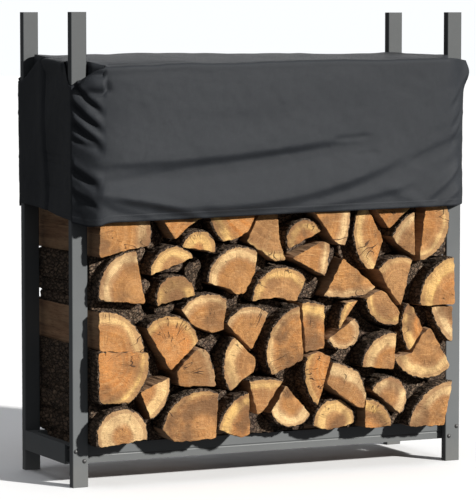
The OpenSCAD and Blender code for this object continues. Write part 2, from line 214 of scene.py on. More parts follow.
def powder_coat():
    """Dark grey powder coat: fine orange peel, painted shade towards the top, dust towards the
    ground, faint wear on edges.
    """
    s = Shader("powder_coat")
    place = s.node("TexCoord").outputs["Object"]
    peel = s.noise(place, 900.0, 2.0)
    cloud = s.noise(place, 7.0, 5.0, 0.6)
    upright = s.vector("MULTIPLY", place, (60.0, 60.0, 9.0))
    scuff = s.ease(s.noise(upright, 1.0, 6.0, 0.7), 0.66, 0.76)
    height = s.split(place)[2]
    dust = s.math("MULTIPLY", s.ease(height, 0.12, 0.0), s.noise(place, 30.0, 4.0, 0.7))
    color = s.mix(cloud, (0.086, 0.093, 0.099), (0.105, 0.113, 0.119))
    # Painted shade: the coat darkens towards the top, standing in for light falling off up the
    # frame.
    color = s.mix(s.ease(height, 0.2, 1.2), color, (0.042, 0.047, 0.051))
    color = s.tint(color, scuff, 0.25, (0.17, 0.17, 0.17))
    color = s.tint(color, dust, 0.30, (0.20, 0.18, 0.15))
    roughness = s.math("MULTIPLY_ADD", cloud, 0.22, 0.38)
    return s.finish(color, roughness, [(peel, 0.00012), (cloud, 0.0004)])


def blackened_steel():
    s = Shader("blackened_steel")
    place = s.node("TexCoord").outputs["Object"]
    cloud = s.noise(place, 180.0, 4.0, 0.6)
    color = s.mix(cloud, (0.03, 0.03, 0.031), (0.075, 0.075, 0.077))
    return s.finish(color, s.math("MULTIPLY_ADD", cloud, 0.3, 0.25), [(cloud, 0.0001)])


def zinc():
    s = Shader("zinc", Metallic=1.0)
    place = s.node("TexCoord").outputs["Object"]
    grain = s.cells(place, 420.0, "F1")
    color = s.mix(grain, (0.42, 0.43, 0.44), (0.62, 0.62, 0.61))
    return s.finish(color, s.math("MULTIPLY_ADD", grain, 0.3, 0.28), [(grain, 0.00005)])


HEART_BROWN = (0.44, 0.190, 0.050)
HEART_ORANGE = (0.56, 0.210, 0.045)
HEART_GREY = (0.33, 0.175, 0.070)
HEART_WIDE_RING = (0.62, 0.32, 0.12)
SAP_PALE = (0.85, 0.595, 0.30)
SAP_YELLOW = (0.79, 0.49, 0.165)
SAP_WIDE_RING = (0.70, 0.42, 0.19)
RING_STEP = 0.0034      # width of a year's growth


def wood_place(s):
    """Where a point is from its log's pith, in metres, and the same shifted apart log by log."""
    grain = s.attribute("grain")
    tone = s.attribute("tone", "Fac")
    shift = s.vector("ADD", grain, s.join(tone, s.math("MULTIPLY", tone, 3.7), 0.0))
    return grain, shift, tone


def chance(s, tone, factor):
    """A number from 0 to 1 that differs log by log."""
    return s.math("FRACT", s.math("MULTIPLY", tone, factor))


def end_grain():
    """A sawn end: growth rings, pale sapwood next to the bark, stains, drying cracks and saw marks
    with painted highlights.
    """
    s = Shader("end_grain", Specular_IOR_Level=0.3)
    grain, shift, tone = wood_place(s)
    hue, grey, width, stained = (chance(s, tone, k) for k in (7.13, 13.7, 29.3, 41.9))
    x, _, z = s.split(grain)
    radius = s.vector("LENGTH", s.join(x, 0.0, z))
    angle = s.math("ARCTAN2", z, x)
    wander = s.noise(shift, 15.0, 4.0, 0.6)
    bent = s.math("MULTIPLY_ADD", s.math("SUBTRACT", wander, 0.5), 0.022, radius)
    ring = s.math("FRACT", s.math("DIVIDE", bent, RING_STEP))
    ring = s.math("MULTIPLY", s.ease(ring, 0.2, 0.95), s.ease(s.noise(shift, 31.0, 3.0), 0.38, 0.6))
    wide_ring = s.noise(s.join(s.math("MULTIPLY", bent, 120.0), 0.0, tone), 1.0, 3.0, 0.6)
    rays = s.noise(s.join(s.math("MULTIPLY", angle, 36.0), s.math("MULTIPLY", radius, 14.0), tone),
                   1.0, 3.0, 0.7)
    blotch = s.noise(shift, 24.0, 5.0, 0.62)
    cloud = s.noise(shift, 11.0, 3.0, 0.55)
    fuzz = s.noise(shift, 430.0, 4.0, 0.75)
    saw = s.noise(s.vector("MULTIPLY", shift, (45.0, 8.0, 700.0)), 1.0, 4.0, 0.65)
    depth = s.math("SUBTRACT", s.attribute("rim", "Fac"), bent)
    band = s.math("MULTIPLY_ADD", width, 0.026, 0.016)
    inside = s.math("SUBTRACT", s.math("MULTIPLY_ADD", blotch, 0.022, depth), band)
    sap = s.ease(inside, 0.021, 0.002)
    line = s.math("MULTIPLY", s.ease(inside, 0.024, 0.013), s.ease(inside, 0.003, 0.010))
    heart = s.mix(s.ease(hue, 0.25, 0.75), HEART_BROWN, HEART_ORANGE)
    heart = s.tint(heart, s.ease(grey, 0.62, 0.9), 0.8, HEART_GREY)
    heart = s.tint(heart, s.ease(wide_ring, 0.35, 0.65), 0.6, HEART_WIDE_RING)
    pale = s.mix(s.ease(hue, 0.1, 0.8), SAP_PALE, SAP_YELLOW)
    pale = s.tint(pale, s.ease(wide_ring, 0.4, 0.7), 0.35, SAP_WIDE_RING)
    color = s.mix(sap, heart, pale)
    color = s.tint(color, line, 0.4, (0.30, 0.11, 0.04))
    color = s.tint(color, ring, 0.55, (0.26, 0.11, 0.045))
    color = s.tint(color, s.ease(rays, 0.52, 0.75), 0.30, (0.90, 0.62, 0.32))
    color = s.tint(color, s.ease(rays, 0.46, 0.28), 0.50, (0.36, 0.17, 0.07))
    stain = s.math("MULTIPLY", s.ease(s.math("MULTIPLY_ADD", blotch, 0.35, cloud), 0.60, 0.82),
                   s.ease(stained, 0.1, 0.9, 0.35, 0.95))
    color = s.mix(stain, color, (0.19, 0.092, 0.038))
    # Saw marks: darker streaks, and paler streaks that are a painted highlight.
    color = s.tint(color, s.ease(saw, 0.48, 0.72), 0.40, (0.30, 0.155, 0.075))
    color = s.tint(color, s.ease(saw, 0.46, 0.30), 0.22, (0.96, 0.70, 0.38))
    color = s.tint(color, s.ease(fuzz, 0.54, 0.70), 0.7, (0.13, 0.065, 0.035))
    color = s.tint(color, s.ease(depth, 0.0125, 0.008), 0.55, (0.30, 0.15, 0.07))
    check_line = s.noise(s.join(s.math("MULTIPLY", angle, 2.6), s.math("MULTIPLY", radius, 9.0),
                                s.math("MULTIPLY", tone, 9.0)), 1.0, 2.0, 0.5)
    check = s.ease(s.math("ABSOLUTE", s.math("SUBTRACT", check_line, 0.5)), 0.010, 0.003)
    check = s.math("MULTIPLY", check, s.ease(s.noise(shift, 13.0, 2.0), 0.54, 0.62))
    color = s.tint(color, check, 0.85, (0.05, 0.025, 0.015))
    relief = s.math("ADD", s.math("MULTIPLY", ring, 0.3), s.math("ADD", saw, fuzz))
    return s.finish(color, 0.75, [(relief, 0.0022), (s.math("MULTIPLY", check, -1.0), 0.002),
                                  (blotch, 0.007)])


def split_wood():
    """A weathered split face: fibres along the log, with torn streaks."""
    s = Shader("split_wood", Specular_IOR_Level=0.25)
    grain, shift, tone = wood_place(s)
    along = s.vector("MULTIPLY", shift, (1.0, 0.045, 1.0))
    fibre = s.noise(along, 420.0, 5.0, 0.65)
    streak = s.noise(along, 70.0, 4.0, 0.6)
    blotch = s.noise(s.vector("MULTIPLY", shift, (1.0, 0.3, 1.0)), 16.0, 4.0, 0.6)
    color = s.mix(s.ease(streak, 0.3, 0.7), (0.36, 0.205, 0.115), (0.20, 0.105, 0.058))
    color = s.mix(s.ease(blotch, 0.35, 0.65), color, (0.42, 0.26, 0.15))
    color = s.tint(color, s.ease(fibre, 0.5, 0.72), 0.65, (0.08, 0.045, 0.028))
    return s.finish(color, 0.85, [(streak, 0.006), (fibre, 0.0018)])


def bark():
    """Furrowed bark: broken plates along the log with pale flecks on a dark brown."""
    s = Shader("bark", Specular_IOR_Level=0.2)
    grain, shift, tone = wood_place(s)
    along = s.vector("MULTIPLY", shift, (1.0, 0.34, 1.0))
    warp = s.noise(along, 75.0, 5.0, 0.65)
    pushed = s.join(s.math("MULTIPLY", warp, 0.020), 0.0, s.math("MULTIPLY", warp, 0.016))
    plates = s.cells(s.vector("ADD", along, pushed), 105.0)
    furrow = s.ease(s.math("MULTIPLY_ADD", warp, 0.25, plates), 0.10, 0.36)
    crumb = s.noise(shift, 300.0, 5.0, 0.75)
    cloud = s.noise(shift, 30.0, 4.0, 0.6)
    color = s.mix(furrow, (0.020, 0.013, 0.009), (0.165, 0.110, 0.074))
    color = s.tint(color, s.ease(cloud, 0.45, 0.65), 0.5, (0.062, 0.040, 0.036))
    fleck = s.math("MULTIPLY", s.ease(crumb, 0.54, 0.66), s.ease(tone, 0.0, 1.0, 0.55, 0.95))
    color = s.mix(fleck, color, (0.44, 0.36, 0.27))
    return s.finish(color, 0.9, [(furrow, 0.006), (crumb, 0.004)])


THREAD_PITCH = 0.0016
STITCH_PITCH = 0.0050
STITCH_ROW = 0.0145     # height of the stitches above the hem


def coated_fabric():
    """Charcoal woven polyester with a dull coating; the weave and stitches follow the cloth."""
    s = Shader("coated_fabric", Specular_IOR_Level=0.14)
    cloth = s.attribute("cloth")
    seam = s.attribute("seam", "Fac")
    u, v, _ = s.split(cloth)
    threads_per_metre = 2.0 * math.pi / THREAD_PITCH
    warp = s.math("SINE", s.math("MULTIPLY", u, threads_per_metre))
    weft = s.math("SINE", s.math("MULTIPLY", v, threads_per_metre))
    weave = s.math("MULTIPLY", warp, weft)
    flat_slub = s.noise(s.vector("MULTIPLY", cloth, (40.0, 900.0, 1.0)), 1.0, 3.0, 0.6)
    tall_slub = s.noise(s.vector("MULTIPLY", cloth, (900.0, 40.0, 1.0)), 1.0, 3.0, 0.6)
    cloud = s.noise(cloth, 9.0, 5.0, 0.6)
    crease = s.noise(cloth, 14.0, 3.0, 0.5, 0.3)
    # A doubled band along the hem, held by a row of stitches.
    band = s.ease(seam, 0.0185, 0.0165)
    row = s.ease(s.math("ABSOLUTE", s.math("SUBTRACT", seam, STITCH_ROW)), 0.0013, 0.0006)
    dash = s.ease(s.math("SINE", s.math("MULTIPLY", u, 2.0 * math.pi / STITCH_PITCH)), -0.2, 0.2)
    stitch = s.math("MULTIPLY", row, dash)
    color = s.mix(cloud, (0.0225, 0.0250, 0.0300), (0.0285, 0.0315, 0.0370))
    threads = s.math("ADD", flat_slub, tall_slub)
    color = s.tint(color, s.ease(threads, 0.85, 1.25), 0.22, (0.042, 0.046, 0.053))
    color = s.tint(color, stitch, 0.35, (0.060, 0.063, 0.070))
    roughness = s.math("MULTIPLY_ADD", cloud, 0.14, 0.42)
    return s.finish(color, roughness, [(weave, 0.00012), (threads, 0.0003), (crease, 0.0022),
                                       (band, 0.0008), (stitch, 0.0003)])


def pale_floor():
    s = Shader("pale_floor")
    place = s.node("TexCoord").outputs["Object"]
    cloud = s.noise(place, 1.5, 4.0, 0.5)
    return s.finish(s.mix(cloud, (0.92, 0.93, 0.96), (0.94, 0.95, 0.98)), 0.85)


MATERIALS = {make.__name__: make() for make in
             (powder_coat, blackened_steel, zinc, end_grain, split_wood, bark, coated_fabric,
              pale_floor)}
FINISHES = {"frame_steel": "powder_coat", "bolt_steel": "blackened_steel", "nut_steel": "zinc",
            "firewood": "split_wood", "cover_fabric": "coated_fabric"}


def finish_cad_nodes():
    """Gives every carried-over CAD node the material of its slot in the record."""
    for part in frame["record"]["subparts"]:
        mesh = frame["nodes"][part["node"]].data
        mesh.materials.clear()
        mesh.materials.append(MATERIALS[FINISHES[part["material_slot"]]])


def make_floor():
    size = 80.0
    below = 0.0005          # the rack's feet and the floor don't share a plane
    mesh = bpy.data.meshes.new("floor")
    corners = [(-size, -size, 0), (size, -size, 0), (size, size, 0), (-size, size, 0)]
    mesh.from_pydata(corners, [], [(0, 1, 2, 3)])
    mesh.materials.append(MATERIALS["pale_floor"])
    floor = bpy.data.objects.new("floor", mesh)
    scene.collection.objects.link(floor)
    floor.location.z = -below
    floor.visible_diffuse = False       # it doesn't throw light up into the pile
    floor.visible_glossy = False


finish_cad_nodes()
make_floor()


# ---------------------------------------------------------------- noise

def lattice(p, seed):
    """Smooth noise from -1 to 1 at points p, an array whose last axis is x, y, z."""
    cell = np.floor(p).astype(np.int64)
    f = p - cell
    f = f * f * (3.0 - 2.0 * f)
    total = np.zeros(p.shape[:-1])
    for corner in range(8):
        step = np.array([corner & 1, corner >> 1 & 1, corner >> 2 & 1])
        c = cell + step
        h = (c[..., 0] * 374761393 + c[..., 1] * 668265263 + c[..., 2] * 2246822519
             + seed * 3266489917) & 0xFFFFFFFF
        h = ((h ^ (h >> 13)) * 1274126177) & 0xFFFFFFFF
        value = ((h ^ (h >> 16)) & 0xFFFF) / 32767.5 - 1.0
        total += value * np.prod(np.where(step, f, 1.0 - f), axis=-1)
    return total


def fractal(p, seed):
    """Three layers of smooth noise, each twice as fine as the last and half as strong."""
    return sum(lattice(p * 2.0 ** k, seed + k) * 0.5 ** k for k in range(3)) / 1.5


# ---------------------------------------------------------------- firewood

WOODS = ("end_grain", "split_wood", "bark")     # a log's materials
END, SPLIT, BARK = range(3)                     # their numbers

COURSES, OPEN_COURSES = 10, 6   # all courses of logs, and those below the cover
ARC_STEPS = 8           # edges that the CAD model gives each stretch of bark
END_RINGS = (0.86, 0.66, 0.44, 0.22)            # rings of an end, as shares of its outline
BARK_T = 0.0050         # thickness of bark, seen on a log's end
WORN_T = 0.0012         # width of the worn edge between an end and a split side
BEND = 0.0016           # how far a log wanders from straight
CUT_SLOPE = 0.09        # steepest slant of a saw cut,
CUT_REACH = 0.06        # which dies out this far from the end
BACK_SHARE = 0.3        # and is this share as steep at the back
PILE_END = 0.488        # logs that reach further out than this are the pile's ends,
CLOSE_PACK = 0.0032     # and fill this much more of the gaps
SWELL = 0.0034          # fixed logs swell in the middle, which closes the gaps between them
COVERED_SWELL = 0.0065
SPLIT_GROWTH = 0.0018   # how much fuller small splits are than their CAD outlines
LOOSE_SLACK = 0.0018    # how much slimmer loose logs are
ON_RAILS = 0.135        # sides of logs below this height lie on the rails
SAG = 0.018             # how far they hang down between the rails
RAIL_GAP = 0.125        # half the clear way between the rails

COVERED_FROM = 0.703    # the courses above this are under the cover and stay within the cloth:
CLOTH_X, CLOTH_Y, CLOTH_Z = 0.507, 0.235, 1.055
CORNER_FROM = 0.44      # beyond this x the limit in y
CORNER_SLOPE = 0.6      # falls this steeply


def log_solids(node):
    """The logs of a CAD node: (corners anticlockwise in X and Z, front y, back y)."""
    mesh = frame["nodes"][node].data
    co = np.empty(len(mesh.vertices) * 3)
    mesh.vertices.foreach_get("co", co)
    places, weld = np.unique(np.round(co.reshape(-1, 3), 5), axis=0, return_inverse=True)
    faces = [[int(weld.ravel()[i]) for i in face.vertices] for face in mesh.polygons]
    owner = list(range(len(places)))

    def root(i):
        while owner[i] != i:
            owner[i] = owner[owner[i]]
            i = owner[i]
        return i

    for face in faces:
        for i in face[1:]:
            owner[root(i)] = root(face[0])
    groups = {}
    for face in faces:
        groups.setdefault(root(face[0]), []).append(face)
    solids = []
    for key in sorted(groups):
        used = sorted({i for face in groups[key] for i in face})
        front, back = places[used, 1].min(), places[used, 1].max()
        after = {}
        for face in groups[key]:
            ahead = [i for i in face if places[i, 1] < front + 1e-4]
            if len(ahead) == 2:
                after.setdefault(ahead[0], []).append(ahead[1])
                after.setdefault(ahead[1], []).append(ahead[0])
        start = min(after)
        loop = [start, after[start][0]]
        while loop[-1] != start:
            a, b = after[loop[-1]]
            loop.append(a if b == loop[-2] else b)
        corners = places[loop[:-1]][:, [0, 2]]
        x, z = corners.T
        if np.sum(x * np.roll(z, -1) - z * np.roll(x, -1)) < 0:
            corners = corners[::-1]
        solids.append((corners, float(front), float(back)))
    return sorted(solids, key=lambda log: (round(log[0][:, 0].mean(), 4), log[0][:, 1].mean()))


def bark_arcs(corners):
    """First corners of the arcs of bark: runs of equal edges with equal turns."""
    n = len(corners)
    edges = np.roll(corners, -1, axis=0) - corners
    lengths = np.linalg.norm(edges, axis=1)
    heading = np.arctan2(edges[:, 1], edges[:, 0])
    turns = (heading - np.roll(heading, 1) + math.pi) % (2 * math.pi) - math.pi
    starts, taken = [], set()
    for i in range(n):
        run = [(i + k) % n for k in range(ARC_STEPS)]
        if n <= ARC_STEPS or taken & set(run):
            continue
        inner = turns[run[1:]]
        if np.ptp(lengths[run]) < 0.02 * lengths[i] + 2e-5 and np.ptp(inner) < 0.02:
            starts.append(i)
            taken |= set(run)
    return starts


def circle(a, b, c):
    """Centre and radius of the circle through three points."""
    m = 2.0 * np.array([b - a, c - a])
    centre = np.linalg.solve(m, np.array([b @ b - a @ a, c @ c - a @ a]))
    return centre, float(np.linalg.norm(a - centre))


def log_outline(corners, step):
    """Points round a log, whether each is bark, and the pith with the bark's radius there."""
    n = len(corners)
    arcs = {i: circle(corners[i], corners[(i + ARC_STEPS // 2) % n], corners[(i + ARC_STEPS) % n])
            for i in bark_arcs(corners)}
    start = min(arcs) if arcs else 0
    points, is_bark, widest, i = [], [], 0.0, start
    middle = corners.mean(axis=0)
    tip = corners[np.argmax(np.linalg.norm(corners - middle, axis=1))]
    pith, rim = tip, float(np.linalg.norm(corners - tip, axis=1).max())
    while i < start + n:
        p = corners[i % n]
        if i % n in arcs:
            centre, radius = arcs[i % n]
            q = corners[(i + ARC_STEPS) % n]
            a = math.atan2(*(p - centre)[::-1])
            sweep = (math.atan2(*(q - centre)[::-1]) - a) % (2 * math.pi)
            count = max(4, round(sweep * radius / step))
            turn = a + sweep * np.arange(count) / count
            points += list(centre + radius * np.stack([np.cos(turn), np.sin(turn)], axis=1))
            is_bark += [True] * count
            if sweep * radius > widest:
                widest, pith, rim = sweep * radius, centre, radius
            i += ARC_STEPS
        else:
            q = corners[(i + 1) % n]
            count = max(2, round(float(np.linalg.norm(q - p)) / step))
            points += [p + (q - p) * k / count for k in range(count)]
            is_bark += [False] * count
            i += 1
    return np.array(points), np.array(is_bark), pith, rim


def log_mesh(corners, front, back, seed, step, slices, slack):
    """Vertices, faces, material numbers, wood places and bark radius of one rough log."""
    loop, is_bark, pith, rim = log_outline(corners, step)
    m = len(loop)
    loop = loop + 0.25 * (np.roll(loop, 1, axis=0) + np.roll(loop, -1, axis=0) - 2 * loop)
    ahead = np.roll(loop, -1, axis=0) - np.roll(loop, 1, axis=0)
    normal = np.stack([ahead[:, 1], -ahead[:, 0]], axis=1)
    normal /= np.linalg.norm(normal, axis=1)[:, None]
    middle = loop.mean(axis=0)
    length = back - front
    swell = np.where(loop[:, 1] > COVERED_FROM, COVERED_SWELL, SWELL * (slack == 0.0))
    swell *= (np.abs(loop[:, 0]) < PILE_END) & (loop[:, 1] > ON_RAILS)
    if np.abs(loop[:, 0]).max() > PILE_END:
        slack -= CLOSE_PACK
        # Most logs at the left end turn their bark outwards.
        if seed % 3:
            is_bark = is_bark | (loop[:, 0] < -PILE_END)
    sag = SAG * (normal[:, 1] < -0.5) * (loop[:, 1] < ON_RAILS)
    # The slices are closer together towards both ends.
    ys = front + length * (0.5 - 0.5 * np.cos(np.pi * np.linspace(0, 1, slices) ** 0.9)) ** 0.8

    def place(y):
        """The outline at depth y with bark and torn fibres."""
        p = np.stack([loop[:, 0], np.full(m, y), loop[:, 1]], axis=1)
        rough = 0.0030 * fractal(p * (170.0, 60.0, 170.0), seed) + 0.0010
        torn = 0.0030 * fractal(p * (85.0, 9.0, 85.0), seed + 7) - 0.0006
        out = np.where(is_bark, rough, torn) - slack + sag * max(0.0, 1.0 - (y / RAIL_GAP) ** 4)
        out = out + swell * np.sin(np.pi * np.clip((y - front) / length, 0, 1)) ** 0.7
        way = np.array([[y * 6.0, seed * 1.3, 0.5], [y * 6.0, seed * 2.1, 9.5]])
        lean = BEND * lattice(way, seed)
        return np.stack([loop[:, 0] + normal[:, 0] * out + lean[0], p[:, 1],
                         loop[:, 1] + normal[:, 1] * out + lean[1]], axis=1)

    def cap(ring, outward):
        """Rings of points from a log's outer edge to the middle of its end."""
        flat = ring[:, 1].mean()
        away = np.linalg.norm(ring[:, [0, 2]] - middle, axis=1)
        chip = np.abs(fractal(ring * (150.0, 1.0, 150.0), seed + 3)) * 0.011 + 0.001
        ring[:, 1] -= outward * np.where(is_bark, chip, 0.0006)
        thick = BARK_T * (0.75 + 0.6 * fractal(ring * (95.0, 1.0, 95.0), seed + 5))
        inset = np.where(is_bark, thick, WORN_T)
        share = 1.0 - inset / np.maximum(away, 2.5 * inset)
        levels = []
        for part in (share, *[share * k for k in END_RINGS]):
            p = ring.copy()
            p[:, [0, 2]] = middle + (ring[:, [0, 2]] - middle) * part[:, None]
            p[:, 1] = flat
            levels.append(p)
        levels.append(np.array([[middle[0], flat, middle[1]]]))
        for p in levels:
            saw = 0.0007 * fractal(p * (110.0, 1.0, 45.0), seed + 11)
            p[:, 1] += outward * saw
        return levels

    # The bark is chipped at the ends, and the saw cuts aren't quite square.
    rings = [place(y) for y in ys]
    front_cap, back_cap = cap(rings[0], -1.0), cap(rings[-1], 1.0)
    tilt = lattice(np.array([[seed * 0.7, 0.5, 0.5], [0.5, seed * 0.9, 0.5]]), seed) * CUT_SLOPE
    lean_back = -((loop - middle) @ tilt).min()
    for p in (*rings, *front_cap, *back_cap):
        near = np.clip(1.0 - np.abs(p[:, 1] - front) / CUT_REACH, 0, 1)
        far = np.clip(1.0 - np.abs(p[:, 1] - back) / CUT_REACH, 0, 1)
        slope = (p[:, [0, 2]] - middle) @ tilt + lean_back
        p[:, 1] += slope * near - BACK_SHARE * slope * far

    verts = np.concatenate([*rings, *front_cap, *back_cap])
    faces, kinds = [], []
    around = [(k, (k + 1) % m) for k in range(m)]

    def band(a, b, kind_by_bark):
        for k, j in around:
            faces.append((a + k, a + j, b + j, b + k))
            kinds.append(kind_by_bark[bool(is_bark[k])])

    def close(outer, first, flip):
        """Faces of an end, from the side's last ring to the middle point."""
        count = len(front_cap)
        rows = [outer] + [first + i * m for i in range(count - 1)]
        mid = first + (count - 1) * m
        for a, b in zip(rows, rows[1:]):
            pair = (b, a) if flip else (a, b)
            band(*pair, (END, BARK) if a == outer else (END, END))
        for k, j in around:
            k, j = rows[-1] + k, rows[-1] + j
            faces.append((k, mid, j) if flip else (k, j, mid))
            kinds.append(END)

    for i in range(slices - 1):
        band(i * m, (i + 1) * m, (SPLIT, BARK))
    first_cap = slices * m
    close(0, first_cap, True)
    close((slices - 1) * m, first_cap + (len(front_cap) - 1) * m + 1, False)
    grain = verts - np.array([pith[0], 0.0, pith[1]])
    return verts, faces, kinds, grain, rim


def keep_under_cover(verts):
    verts[:, 2] = np.minimum(verts[:, 2], CLOTH_Z)
    covered = verts[:, 2] > COVERED_FROM
    x, y = verts[covered, 0], verts[covered, 1]
    reach = CLOTH_Y - CORNER_SLOPE * np.maximum(0.0, np.abs(x) - CORNER_FROM)
    verts[covered, 0] = np.clip(x, -CLOTH_X, CLOTH_X)
    verts[covered, 1] = np.clip(y, -reach, reach)


def make_logs(node, body, seed, step, slices, slack=0.0, all_bark=False, under_cover=False):
    """One piece of rough logs in place of the plain logs of a CAD node."""
    verts, faces, kinds, grains, rims, tones = [], [], [], [], [], []
    count = 0
    for i, (corners, front, back) in enumerate(log_solids(node)):
        v, f, k, g, rim = log_mesh(corners, front, back, seed * 40 + i, step, slices, slack)
        verts.append(v)
        faces += [tuple(count + j for j in face) for face in f]
        kinds += [BARK] * len(k) if all_bark else k
        grains.append(g)
        rims.append(np.full(len(v), rim))
        # Steps of the golden ratio give each log a tone unlike its neighbours'.
        tones.append(np.full(len(v), (0.37 + 0.618034 * (seed * 11 + i)) % 1.0))
        count += len(v)
    verts = np.concatenate(verts)
    if under_cover:
        keep_under_cover(verts)
    mesh = bpy.data.meshes.new(node + "_wood")
    mesh.from_pydata(verts.tolist(), [], faces)
    for name in WOODS:
        mesh.materials.append(MATERIALS[name])
    mesh.polygons.foreach_set("material_index", kinds)
    mesh.attributes.new("grain", "FLOAT_VECTOR", "POINT").data.foreach_set(
        "vector", np.concatenate(grains).ravel())
    mesh.attributes.new("rim", "FLOAT", "POINT").data.foreach_set("value", np.concatenate(rims))
    mesh.attributes.new("tone", "FLOAT", "POINT").data.foreach_set("value", np.concatenate(tones))
    mesh.validate()
    obj = bpy.data.objects.new(node + "_wood", mesh)
    scene.collection.objects.link(obj)
    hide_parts(node)
    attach(obj, body)


for course in range(1, COURSES + 1):
    covered = course > OPEN_COURSES
    make_logs(f"log_course_{course}", "rack", course, step=0.010 if covered else 0.005,
              slices=14 if covered else 30, under_cover=covered)
make_logs("small_splits", "rack", 17, step=0.006, slices=16, slack=-SPLIT_GROWTH, all_bark=True,
          under_cover=True)
for number, name in enumerate(("left", "dome", "wedge", "round")):
    make_logs(f"loose_log_{name}", f"loose_log_{name}", 20 + number, step=0.005, slices=30,
              slack=LOOSE_SLACK)


# ---------------------------------------------------------------- cover

FRONT_Y = 0.2475                # the front and the back, at the middle
TURN = np.array([0.512, 0.249])     # where they start to slant to the uprights
POST = np.array([0.5625, 0.181])    # where the slants reach the uprights' outer corners
EDGE_R = 0.010                  # radius of the edge round the top
CLOTH_T = 0.0012
WELD_GAP = 0.0004
FAR_FROM_HEM = 0.2              # the top's height above the hem, for the hem's stitches
FRONT_COLUMNS, SLANT_COLUMNS, END_COLUMNS = 134, 24, 48
SKIRT_ROWS, EDGE_ROWS, TOP_ROWS = 78, 3, 24
FLAP_ROWS, FLAP_DROP = 3, 0.040     # cloth that hangs inside the corner openings

# Each corner opening, by the signs of x and y: height of its rim where the front or back
# turns, its height at the upright, and how near the end's middle it reaches.
OPENINGS = {(-1, -1): (1.061, 1.014, 0.120), (1, -1): (1.080, 1.072, 0.125),
            (1, 1): (1.066, 1.030, 0.110), (-1, 1): (1.062, 1.020, 0.030)}
RIDGE_X = 0.30                  # the top's rows close to a line from -RIDGE_X to RIDGE_X
INNER_RIM = np.array([[0.513, 0.188], [0.511, 0.150], [0.536, 0.138]])   # round an upright

# Heights of the hem and of the top edge: (place along the side, height).
HEM_FRONT = ((-0.53, 0.676), (-0.43, 0.675), (0.05, 0.684), (0.52, 0.691))
HEM_BACK = ((-0.53, 0.694), (-0.2, 0.686), (0.25, 0.681), (0.53, 0.687))
HEM_LEFT = ((-0.181, 0.677), (-0.08, 0.684), (0.03, 0.695), (0.181, 0.704))
HEM_RIGHT = ((-0.181, 0.691), (0.0, 0.697), (0.181, 0.690))
TOP_FRONT = ((-0.5, 1.066), (-0.23, 1.072), (0.05, 1.075), (0.5, 1.080))
TOP_BACK = ((-0.5, 1.086), (-0.2, 1.092), (0.2, 1.090), (0.5, 1.085))

HOLLOW = 0.004                  # the logs keep the front from hanging in further than this
SMOOTHING_PASSES = 120          # they round the turns from the front and back to the slants

# Folds of the front and back. Each runs through three (x, z) points; then its reach above and
# below that line, and how far it stands out.
FRONT_FOLDS = (
    (((-0.52, 0.752), (-0.20, 0.711), (0.28, 0.800)), 0.050, 0.019, 0.0165),
    (((-0.52, 0.768), (-0.20, 0.803), (0.20, 0.850)), 0.016, 0.024, -0.0085),
    (((-0.52, 0.824), (-0.22, 0.836), (0.12, 0.872)), 0.070, 0.015, 0.0095),
    (((-0.46, 0.737), (-0.33, 0.712), (-0.22, 0.676)), 0.014, 0.010, 0.0055),
    (((-0.49, 0.722), (-0.44, 0.706), (-0.37, 0.690)), 0.012, 0.009, 0.0040),
    (((0.02, 0.696), (0.19, 0.717), (0.36, 0.752)), 0.020, 0.012, 0.0065),
    (((0.28, 0.752), (0.345, 0.724), (0.43, 0.684)), 0.020, 0.014, 0.0035),
    (((0.38, 0.812), (0.46, 0.841), (0.54, 0.872)), 0.012, 0.018, -0.0065),
    (((0.42, 0.716), (0.47, 0.752), (0.54, 0.812)), 0.018, 0.012, 0.0075),
    (((0.45, 0.690), (0.49, 0.715), (0.54, 0.750)), 0.012, 0.008, 0.0045),
    (((0.15, 0.873), (0.20, 0.875), (0.25, 0.878)), 0.007, 0.006, -0.0030),
    (((0.21, 0.829), (0.24, 0.832), (0.27, 0.835)), 0.007, 0.006, -0.0026),
    (((-0.35, 0.930), (-0.05, 0.975), (0.22, 1.010)), 0.070, 0.045, 0.0035),
    (((-0.50, 1.040), (-0.40, 1.050), (-0.25, 1.054)), 0.010, 0.008, -0.0025),
)
# Grooves pulled across the slants: height at the upright, drop to the turn, width, depth.
SLANT_GROOVES = (
    (1.028, 0.087, 0.0085, 0.0120), (0.975, 0.082, 0.0100, 0.0145),
    (0.925, 0.068, 0.0105, 0.0155), (0.884, 0.034, 0.0070, 0.0080),
    (0.808, 0.056, 0.0105, 0.0130), (0.752, 0.046, 0.0070, 0.0060),
)
END_HALF = 0.172                # half the way that an end hangs free between its uprights
END_FOLD_Y = 0.014              # its long fold
# Creases of the ends, from where the cover was folded flat: heights.
PACKING_CREASES = (0.838, 0.820, 0.757)


def ease(value, low, high):
    t = np.clip((value - low) / (high - low), 0.0, 1.0)
    return t * t * (3.0 - 2.0 * t)


def marks(table, at):
    return np.interp(at, *zip(*table))


def bell(distance, width):
    return np.exp(-(distance / width) ** 2)


def arc_through(points, x):
    """Heights at x of the parabola through three (x, z) points."""
    return np.polyval(np.polyfit(*zip(*points), 2), x)


def front_folds(x, z):
    total = np.zeros_like(x)
    for points, above, below, height in FRONT_FOLDS:
        start, stop = points[0][0], points[2][0]
        soft = 0.16 * (stop - start)
        fade = ease(x, start - soft, start + soft) * ease(-x, -stop - soft, -stop + soft)
        off = z - arc_through(points, x)
        total += height * bell(off, np.where(off > 0, above, below)) * fade
    return np.where(total < 0, HOLLOW * np.tanh(total / HOLLOW), total)


def slant_folds(w, z, seed):
    """w runs from 0 where the front or back turns to 1 at the upright's outer corner."""
    total = np.zeros_like(w)
    for k, (top, drop, width, depth) in enumerate(SLANT_GROOVES):
        shift = 0.010 * lattice(np.array([[seed * 3.1 + k, 0.5, 0.5]]), seed)[0] if seed else 0.0
        off = z - (top + shift - drop * (1.0 - w) ** 0.9)
        wide = width * (1.25 - 0.35 * w)
        total += depth * (0.6 * bell(off - 1.9 * wide, 1.2 * wide) - bell(off, wide))
    return total * ease(w, 0.0, 0.22) * ease(-w, -1.0, -0.86)


